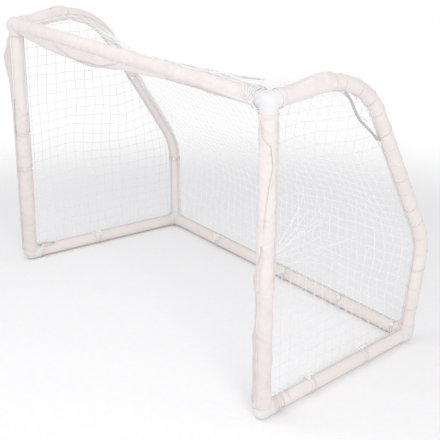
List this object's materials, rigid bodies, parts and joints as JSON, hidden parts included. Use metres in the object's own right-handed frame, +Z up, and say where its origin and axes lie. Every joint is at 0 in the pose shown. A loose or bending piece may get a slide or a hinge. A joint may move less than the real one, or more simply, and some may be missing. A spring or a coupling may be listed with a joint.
{
  "type": "hockey goal net",
  "caption": "Free-standing street hockey goal with a round plastic pipe frame, corner fittings, cloth sleeves on the posts and a knotted cord net over the roof, back and sides.",
  "frame": {"origin": "on the floor, midway between the posts and midway between the front and the back", "axes": "+X to the right as seen by a player who faces the open front, +Y from the open front towards the back, +Z up"},
  "size_m": [1.98, 1.0012, 1.3128],
  "materials": {
    "pipe": "satin",
    "fitting": "satin",
    "cloth": "woven",
    "net": "knotted cord",
    "cord": "braided cord"
  },
  "bodies": {
    "root": {"left_front_post": "pipe", "right_front_post": "pipe", "left_side_rail": "pipe", "right_side_rail": "pipe", "crossbar": "pipe", "rear_rail": "pipe", "left_side_tube": "pipe", "right_side_tube": "pipe", "top_corner_fittings": "fitting", "front_corner_elbows": "fitting", "rear_corner_fittings": "fitting", "left_post_sleeve": "cloth", "right_post_sleeve": "cloth", "crossbar_sleeve": "cloth", "roof_sleeves": "cloth", "roof_net": "net", "shoulder_net": "net", "sloping_back_net": "net", "heel_net": "net", "lower_back_net": "net", "left_side_net": "net", "right_side_net": "net", "right_side_tube_lacing": "cord", "left_side_tube_ties": "cord", "left_rail_ties": "cord", "right_rail_ties": "cord", "rear_rail_ties": "cord"}
  },
  "joints": []
}
